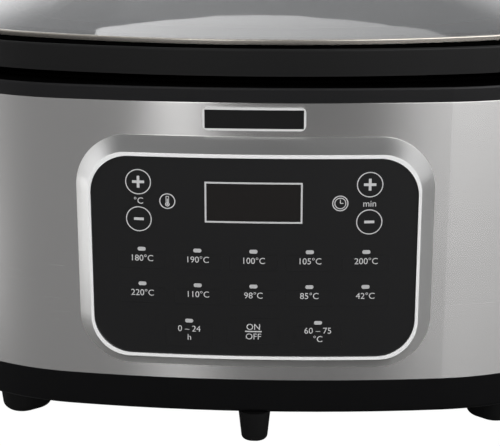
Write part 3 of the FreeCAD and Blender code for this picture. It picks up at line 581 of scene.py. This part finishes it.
def ink(name, shade):
    """Printed ink with a slightly uneven cover."""

    def varying(f):
        cover = f.noise(2600.0, 3.0, 0.6)
        return {
            "Base Color": f.tint(cover, shaded(shade, 0.88), shaded(shade, 1.06)),
            "Roughness": 0.45 + cover * 0.1,
        }

    return surface(name, {}, varying)


def badge_finish(name, edge_shade, edge_width=0.0010):
    """Gloss black plate with a bare silver edge, told apart by place."""
    low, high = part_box("badge_plate")
    half = (high - low) / 2
    mid_z = (high.z + low.z) / 2

    def varying(f):
        x, _, z = f.axes()
        inward = (half.x - x.size()).smaller(half.z - (z - mid_z).size())
        speck = f.noise(500.0, 3.0, 0.6)
        black = f.tint(speck, *BADGE_BLACK)
        return {
            "Base Color": f.tint(inward < edge_width, black, edge_shade),
            "Roughness": 0.30 + speck * 0.08,
        }

    return surface(name, {"IOR": 1.33}, varying)


def dress(material, *names):
    """Gives CAD nodes one finish."""
    for name in names:
        mesh = NODES[name].data
        mesh.materials.clear()
        mesh.materials.append(material)


# pieces


def new_piece(name, bm, body, material):
    """A finished piece, riding on the body that carries it."""
    mesh = bpy.data.meshes.new(name)
    bm.to_mesh(mesh)
    bm.free()
    mesh.materials.append(material)
    piece = bpy.data.objects.new(name, mesh)
    bpy.context.scene.collection.objects.link(piece)
    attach(piece, body)
    return piece


def smooth_copy(node):
    """A merged copy of a CAD node, as a bmesh, to be reshaped."""
    bm = bmesh.new()
    bm.from_mesh(NODES[node].data)
    bmesh.ops.remove_doubles(bm, verts=bm.verts, dist=MERGE_DISTANCE)
    bmesh.ops.recalc_face_normals(bm, faces=bm.faces)
    return bm


def replacement(name, bm, body, material, node):
    """A smooth piece that stands for a CAD node."""
    for edge in bm.edges:
        edge.smooth = edge.calc_face_angle(0.0) < SMOOTH_BELOW
    for face in bm.faces:
        face.smooth = True
    piece = new_piece(name, bm, body, material)
    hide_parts(node)
    return piece


# prints on the curved panel


def middle(node):
    """Middle of a CAD node, seen from the front."""
    low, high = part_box(node)
    return (low.x + high.x) / 2, (low.z + high.z) / 2


def panel_y(x, rise):
    """Depth of the panel face at x, with a little ink on it."""
    return PANEL_AXIS_Y - math.sqrt((FASCIA_RADIUS + rise) ** 2 - x * x)


def print_piece(name, bm, x, z, body, material):
    """Lays a mark drawn flat in X and Y on the curved panel, about x and z."""
    rise = bpy.context.scene.cooker_prints.rise
    bmesh.ops.triangulate(bm, faces=bm.faces)
    for vert in bm.verts:
        out_x = vert.co.x + x
        vert.co = Vector((out_x, panel_y(out_x, rise), vert.co.y + z))
    bmesh.ops.recalc_face_normals(bm, faces=bm.faces)
    for face in bm.faces:
        if face.normal.y > 0:
            face.normal_flip()
    new_piece(name, bm, body, material)


def add_disc(bm, x, y, diameter, segments):
    """A printed disc."""
    return bmesh.ops.create_circle(bm, cap_ends=True, segments=segments, radius=diameter / 2,
                                   matrix=Matrix.Translation((x, y, 0)))


def add_ring(bm, x, y, diameter, line, segments=RING_SEGMENTS):
    """A printed circle line."""
    face = add_disc(bm, x, y, diameter, segments)["verts"][0].link_faces[0]
    bmesh.ops.inset_region(bm, faces=[face], thickness=line, use_boundary=True,
                           use_even_offset=True)
    bmesh.ops.delete(bm, geom=[face], context="FACES")


def add_bar(bm, x, y, width, height, turn=0.0):
    """A printed bar, cut into short lengths so that it bends with the panel."""
    spot = Matrix.Translation((x, y, 0)) @ Matrix.Rotation(turn, 4, "Z")
    spot = spot @ Matrix.Diagonal((width / 2, height / 2, 1, 1))
    bmesh.ops.create_grid(bm, x_segments=BAR_SEGMENTS, y_segments=1, size=1.0, matrix=spot)


def add_words(bm, text, y, height):
    """A legend, centred, with its capitals about y."""
    curve = bpy.data.curves.new("legend", "FONT")
    curve.body = text
    curve.align_x = "CENTER"
    curve.size = height / CAPITAL_SHARE
    curve.resolution_u = 4
    holder = bpy.data.objects.new("legend", curve)
    bpy.context.scene.collection.objects.link(holder)
    graph = bpy.context.evaluated_depsgraph_get()
    mesh = bpy.data.meshes.new_from_object(holder.evaluated_get(graph))
    bpy.data.objects.remove(holder)
    mesh.transform(Matrix.Translation((0, y - height / 2, 0)))
    bm.from_mesh(mesh)
    bpy.data.meshes.remove(mesh)
    bpy.data.curves.remove(curve)


class COOKER_OT_key_caps(bpy.types.Operator):
    """Make the key caps so wide that the film looks unbroken round them"""

    bl_idname = "cooker.key_caps"
    bl_label = "Key caps"

    def execute(self, context):
        grow = context.scene.cooker_prints.cap_growth
        v = context.scene.cooker_finishes
        material = film("key_film", v.fascia, v.film_gloss)
        for name in KEYS:
            low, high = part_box(name)
            mid_x, mid_z = middle(name)
            wide = 1 + 2 * grow / (high.x - low.x)
            tall = 1 + 2 * grow / (high.z - low.z)
            centre = math.asin(mid_x / FASCIA_RADIUS)
            bm = smooth_copy(name)
            for vert in bm.verts:
                out = PANEL_AXIS_Y - vert.co.y
                radius = math.hypot(vert.co.x, out)
                angle = centre + (math.atan2(vert.co.x, out) - centre) * wide
                vert.co.x = radius * math.sin(angle)
                vert.co.y = PANEL_AXIS_Y - radius * math.cos(angle)
                vert.co.z = mid_z + (vert.co.z - mid_z) * tall
            replacement("cap_" + name, bm, name, material, name)
        return {"FINISHED"}


class COOKER_OT_sensor_spring(bpy.types.Operator):
    """Put a smooth steel copy of the sensor's spring on the housing in place of the CAD spring"""

    bl_idname = "cooker.sensor_spring"
    bl_label = "Sensor spring"

    def execute(self, context):
        low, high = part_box("sensor_spring")
        press = [j for j in frame["joints"] if j["name"] == "sensor_press"][0]
        travel = max(abs(limit) for limit in press["range_m"])
        tall = high.z - low.z
        v = context.scene.cooker_finishes
        material = polished_steel("spring_steel", v.fastener, v.fastener_gloss)
        piece = replacement("spring_coil", smooth_copy("sensor_spring"), HOUSING,
                            material, "sensor_spring")
        (tall - travel) / tall
        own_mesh(piece)
        return {"FINISHED"}


class COOKER_OT_key_prints(bpy.types.Operator):
    """Print the signs and numbers on the keys"""

    bl_idname = "cooker.key_prints"
    bl_label = "Key prints"

    def execute(self, context):
        p = context.scene.cooker_prints
        material = ink("key_ink", context.scene.cooker_finishes.print_ink)
        for name in ROUND_KEYS:
            self.sign(p, name, material)
        for line, legends in LEGENDS.items():
            for k, text in enumerate(legends):
                bm = bmesh.new()
                add_words(bm, text, 0, p.digits)
                self.on_key("key_%s_%d" % (line, k + 1), bm, p.lift, material)
        for name, words in LOW_LEGENDS.items():
            switch = name == "key_power"
            bm = self.two_lines(p, words, p.power_lines if switch else p.time_lines)
            if switch:
                add_bar(bm, 0, 0, p.power_bar, p.power_line)
            self.on_key(name, bm, 0.0 if switch else p.time_lift, material)
        return {"FINISHED"}

    def sign(self, p, name, material):
        """A plus or a minus in a ring."""
        plus = name.startswith("key_up_")
        bm = bmesh.new()
        add_ring(bm, 0, 0, p.ring, p.line)
        add_bar(bm, 0, 0, p.plus if plus else p.minus, p.stroke)
        if plus:
            add_bar(bm, 0, 0, p.plus, p.stroke, math.pi / 2)
        self.on_key(name, bm, 0.0, material)

    def two_lines(self, p, words, gap):
        bm = bmesh.new()
        for text, y in zip(words, (gap, -gap)):
            add_words(bm, text, y, p.digits)
        return bm

    def on_key(self, name, bm, lift, material):
        x, z = middle(name)
        print_piece("print_" + name, bm, x, z + lift, name, material)


class COOKER_OT_panel_prints(bpy.types.Operator):
    """Print the display frame, the two pictograms and the units on the film"""

    bl_idname = "cooker.panel_prints"
    bl_label = "Panel prints"

    def execute(self, context):
        p = context.scene.cooker_prints
        material = ink("panel_ink", context.scene.cooker_finishes.print_ink)
        window_z = middle("display_window")[1]
        unit_x = middle("key_up_right")[0]
        for name, bm, x in (("print_display_frame", self.frame(p), 0.0),
                            ("print_thermometer", self.thermometer(p), -p.icon_x),
                            ("print_clock", self.clock(p), p.icon_x),
                            ("print_degrees", self.unit(p, "°C"), -unit_x),
                            ("print_minutes", self.unit(p, "min"), unit_x)):
            print_piece(name, bm, x, window_z, HOUSING, material)
        return {"FINISHED"}

    def frame(self, p):
        bm = bmesh.new()
        half_w = (p.window_w - p.window_line) / 2
        half_t = (p.window_t - p.window_line) / 2
        for side in (-1, 1):
            add_bar(bm, 0, side * half_t, p.window_w, p.window_line)
            add_bar(bm, side * half_w, 0, p.window_line, p.window_t - 2 * p.window_line)
        return bm

    def thermometer(self, p):
        bm = bmesh.new()
        add_ring(bm, 0, 0, p.icon, p.line)
        add_ring(bm, 0, -p.bulb_drop, p.bulb, p.icon_line, BULB_SEGMENTS)
        add_disc(bm, 0, -p.bulb_drop, p.bulb_core, BULB_SEGMENTS)
        for stroke in THERMOMETER_STROKES:
            add_bar(bm, *stroke)
        return bm

    def clock(self, p):
        bm = bmesh.new()
        add_ring(bm, 0, 0, p.icon, p.line)
        add_ring(bm, 0, 0, p.icon - p.dial_inset, p.icon_line)
        for hand in CLOCK_HANDS:
            add_bar(bm, *hand)
        return bm

    def unit(self, p, text):
        bm = bmesh.new()
        add_words(bm, text, 0, p.digits)
        return bm


# finishes of the CAD nodes


class COOKER_OT_housing_finish(bpy.types.Operator):
    """Finish the shell, base, ring and feet"""

    bl_idname = "cooker.housing_finish"
    bl_label = "Housing"

    def execute(self, context):
        v = context.scene.cooker_finishes
        dress(brushed_steel("shell_steel", v.steel, v.steel_gloss, (9.0, 9.0, 3600.0)),
              "outer_shell")
        # the ring's top face in the gap under the pot gets painted shade (black)
        dress(moulded_plastic("housing_black", v.housing, roughness=0.36, index=1.35,
                              painted_gap_shade=above(RING_GAP_Z)), "top_ring")
        dress(moulded_plastic("base_black", shaded(v.housing, 0.5), roughness=0.42, index=1.2),
              "base_tray")
        dress(moulded_plastic("foot_black", v.feet, roughness=0.5, grain=1100.0, depth=0.2,
                              index=1.25), *FEET)
        return {"FINISHED"}


class COOKER_OT_panel_finish(bpy.types.Operator):
    """Finish the bezel, film, keys, window, indicators and badge"""

    bl_idname = "cooker.panel_finish"
    bl_label = "Control panel"

    def execute(self, context):
        v = context.scene.cooker_finishes
        dress(bezel_finish("bezel_silver", v.bezel, roughness=0.27), "panel_bezel")
        dress(film("fascia_black", v.fascia, v.film_gloss), "panel_fascia")
        dress(film("key_black", v.fascia, v.film_gloss), *KEYS)
        dress(film("window_smoke", v.window, roughness=0.34), "display_window")
        dress(ink("indicator_grey", shaded(v.print_ink, 0.85)), "indicator_lenses")
        dress(badge_finish("badge_black", v.badge_edge), "badge_plate")
        return {"FINISHED"}


class COOKER_OT_inside_finish(bpy.types.Operator):
    """Finish the heater, sensor, boards and fasteners"""

    bl_idname = "cooker.inside_finish"
    bl_label = "Inside"

    def execute(self, context):
        v = context.scene.cooker_finishes
        # the well's flange seen in the gap under the pot gets painted shade (black)
        dress(moulded_plastic("well_enamel", v.enamel, roughness=0.5, grain=900.0, index=1.25,
                              painted_gap_shade=above(WELL_GAP_Z)), "heater_well")
        dress(cast_metal("reflector_metal", v.heater, roughness=0.30), "heat_reflector")
        dress(cast_metal("plate_metal", shaded(v.heater, 0.9), roughness=0.42),
              "heating_plate", "sensor_cap")
        dress(polished_steel("fastener_steel", v.fastener, v.fastener_gloss),
              "heating_element", "standoffs", "base_screws", "sensor_spring",
              "panel_screws", "handle_screws", "knob_screw")
        dress(moulded_plastic("inner_plastic", v.inner, roughness=0.5),
              "sensor_guide", "panel_cover", "tact_switches")
        dress(board_finish("board_green"), "control_board", "power_board")
        dress(moulded_plastic("display_body", v.display, roughness=0.3), "display_module")
        return {"FINISHED"}


class COOKER_OT_inlet_finish(bpy.types.Operator):
    """Finish the mains inlet and its pins"""

    bl_idname = "cooker.inlet_finish"
    bl_label = "Mains inlet"

    def execute(self, context):
        v = context.scene.cooker_finishes
        dress(moulded_plastic("inlet_black", v.enamel, roughness=0.48), "inlet_socket")
        dress(polished_steel("pin_brass", v.brass, roughness=0.25), "inlet_pins")
        return {"FINISHED"}


class COOKER_OT_pot_finish(bpy.types.Operator):
    """Finish the pot and its handles"""

    bl_idname = "cooker.pot_finish"
    bl_label = "Pot"

    def execute(self, context):
        v = context.scene.cooker_finishes
        dress(pot_coating("pot_coating", v.pot, roughness=0.34), "cooking_pot")
        dress(moulded_plastic("handle_black", v.handle, roughness=0.42),
              "pot_handle_left", "pot_handle_right")
        return {"FINISHED"}


class COOKER_OT_lid_finish(bpy.types.Operator):
    """Finish the lid, its rim, knob and vent"""

    bl_idname = "cooker.lid_finish"
    bl_label = "Lid"

    def execute(self, context):
        v = context.scene.cooker_finishes
        dress(lid_glass("lid_glass", v.glass), "lid_glass")
        # the rim's flange in the shadow gap above the pot gets painted shade (black)
        dress(polished_steel("rim_steel", v.rim, roughness=0.22, painted_gap_shade=below(LID_GAP_Z)), "lid_rim")
        dress(polished_steel("lid_steel", v.rim, roughness=0.14), "knob_plate", "steam_vent")
        dress(moulded_plastic("knob_black", v.handle, roughness=0.38), "lid_knob")
        dress(moulded_plastic("washer_rubber", v.rubber, roughness=0.7), "knob_washer")
        return {"FINISHED"}


# studio


def area_lamp(name, place, aim, width, height, watts):
    """A soft rectangular lamp."""
    lamp = bpy.data.lights.new(name, "AREA")
    lamp.shape = "RECTANGLE"
    lamp.size = width
    lamp.size_y = height
    lamp.energy = watts
    holder = bpy.data.objects.new(name, lamp)
    bpy.context.scene.collection.objects.link(holder)
    holder.location = place
    holder.rotation_euler = (Vector(aim) - Vector(place)).to_track_quat("-Z", "Y").to_euler()
    return holder


class COOKER_OT_studio(bpy.types.Operator):
    """Set the camera, the room, the floor and the lamps"""

    bl_idname = "cooker.studio"
    bl_label = "Studio"

    def execute(self, context):
        scene = context.scene
        s = scene.cooker_studio
        scene.view_settings.view_transform = "Standard"
        self.camera(scene, s)
        self.world(scene, s)
        self.floor(scene, s)
        over = area_lamp("lamp_over", place=(-0.02, 0.27, 1.35), aim=(-0.02, 0.05, 0.2),
                         width=0.84, height=0.30, watts=s.over)
        self.fade(over.data)
        card = area_lamp("lamp_left", place=(-1.0, -0.05, 0.8), aim=(-0.45, -0.05, 0.0),
                         width=1.0, height=1.0, watts=s.card)
        card.visible_glossy = False
        return {"FINISHED"}

    def fade(self, lamp):
        """Makes a lamp weaker towards one of its short ends."""
        lamp.use_nodes = True
        f = Finish(lamp.node_tree)
        along = f.parts(f.out(f.node("ShaderNodeNewGeometry"), "Parametric"))[0]
        strength_along = along * (1.0 - WEAK_END) + WEAK_END
        glow = f.node("ShaderNodeEmission", None, {"Strength": strength_along})
        f.node("ShaderNodeOutputLight", None, {"Surface": f.out(glow)})

    def camera(self, scene, s):
        data = bpy.data.cameras.new("photo_camera")
        data.sensor_fit = "HORIZONTAL"
        data.sensor_width = SENSOR_WIDTH
        data.lens = s.focal * SENSOR_WIDTH / PHOTO_WIDTH
        data.clip_start = 0.01
        data.clip_end = 50.0
        holder = bpy.data.objects.new("photo_camera", data)
        scene.collection.objects.link(holder)
        holder.location = s.eye
        holder.rotation_euler = (math.pi / 2 - s.tilt, 0.0, s.turn)
        scene.camera = holder

    def world(self, scene, s):
        """White where the camera looks, and the room for all other light."""
        world = bpy.data.worlds.new("studio")
        scene.world = world
        world.use_nodes = True
        f = Finish(world.node_tree)
        white = f.node("ShaderNodeBackground", None, {"Color": WHITE, "Strength": 1.0})
        around = f.node("ShaderNodeBackground", None, {"Color": self.room(f, s), "Strength": 1.0})
        whole = f.node("ShaderNodeMixShader", None, {0: f.seen(), 1: f.out(around), 2: f.out(white)})
        f.node("ShaderNodeOutputWorld", None, {"Surface": f.out(whole)})

    def room(self, f, s):
        """What shiny surfaces see: a grey studio with soft panels and a paler back wall."""
        x, y, z = f.parts(f.spot("Generated"))
        turn = x.maths("ARCTAN2", x, 0.0 - y) * (180.0 / math.pi)
        low = 1.0 - f.ease(z, *PANEL_TOP)
        left = (1.0 - f.ease(turn, *LEFT_EDGE)) * (1.0 - f.ease(z, *LEFT_TOP))
        back = f.ease(turn.size(), *BACK_EDGE) * (1.0 - f.ease(z, *BACK_TOP))
        whole = s.room - f.ease(z, *CEILING_EDGE) * s.ceiling
        whole = whole - f.band(turn, *DARK_BAND) * s.dark
        whole = whole + f.band(turn, *RIGHT_BAND) * low * s.right
        whole = whole + f.band(turn, *STRIP_BAND) * low * s.strip
        whole = whole + left * s.left + back * s.back
        shade = f.node("ShaderNodeCombineXYZ", None, {0: whole, 1: whole, 2: whole * 1.01})
        return f.out(shade)

    def floor(self, scene, s):
        """A floor that looks white, keeps the shadow and lights the cooker as grey paper."""
        bm = bmesh.new()
        bmesh.ops.create_grid(bm, x_segments=1, y_segments=1, size=FLOOR_HALF)
        mesh = bpy.data.meshes.new("floor")
        bm.to_mesh(mesh)
        bm.free()
        piece = bpy.data.objects.new("floor", mesh)
        scene.collection.objects.link(piece)
        material = bpy.data.materials.new("floor_paper")
        material.use_nodes = True
        f = Finish(material.node_tree)
        x, y, _ = f.axes()
        card = (1.0 - f.ease(x, *CARD_X)) * f.ease(y, *CARD_Y)
        shade = f.tint(card, grey(s.floor), grey(s.floor_card))
        paper = f.node("ShaderNodeBsdfDiffuse", None, {"Color": shade})
        glow = f.node("ShaderNodeEmission", None, {"Color": WHITE, "Strength": FLOOR_GLOW})
        mixed = f.node("ShaderNodeMixShader", None, {
            0: f.seen() * FLOOR_GLOW_SHARE, 1: f.out(paper), 2: f.out(glow)})
        f.node("ShaderNodeOutputMaterial", None, {"Surface": f.out(mixed)})
        mesh.materials.append(material)


class COOKER_PT_panel(bpy.types.Panel):
    """The cooker's steps in the sidebar"""

    bl_idname = "COOKER_PT_panel"
    bl_label = "Oval multicooker"
    bl_space_type = "VIEW_3D"
    bl_region_type = "UI"
    bl_category = "Cooker"

    def draw(self, context):
        for step in STEPS:
            self.layout.operator(step.bl_idname)


STEPS = (
    COOKER_OT_studio,
    COOKER_OT_housing_finish,
    COOKER_OT_panel_finish,
    COOKER_OT_inside_finish,
    COOKER_OT_inlet_finish,
    COOKER_OT_pot_finish,
    COOKER_OT_lid_finish,
    COOKER_OT_sensor_spring,
    COOKER_OT_key_caps,
    COOKER_OT_key_prints,
    COOKER_OT_panel_prints,
)
GROUPS = (
    ("cooker_finishes", CookerFinishes),
    ("cooker_prints", CookerPrints),
    ("cooker_studio", CookerStudio),
)


def register():
    for name, kind in GROUPS:
        bpy.utils.register_class(kind)
        setattr(bpy.types.Scene, name, PointerProperty(type=kind))
    for step in STEPS:
        bpy.utils.register_class(step)
    bpy.utils.register_class(COOKER_PT_panel)


def unregister():
    bpy.utils.unregister_class(COOKER_PT_panel)
    for step in reversed(STEPS):
        bpy.utils.unregister_class(step)
    for name, kind in reversed(GROUPS):
        delattr(bpy.types.Scene, name)
        bpy.utils.unregister_class(kind)


def main():
    register()
    for step in STEPS:
        group, name = step.bl_idname.split(".")
        getattr(getattr(bpy.ops, group), name)()


if __name__ == "__main__":
    main()
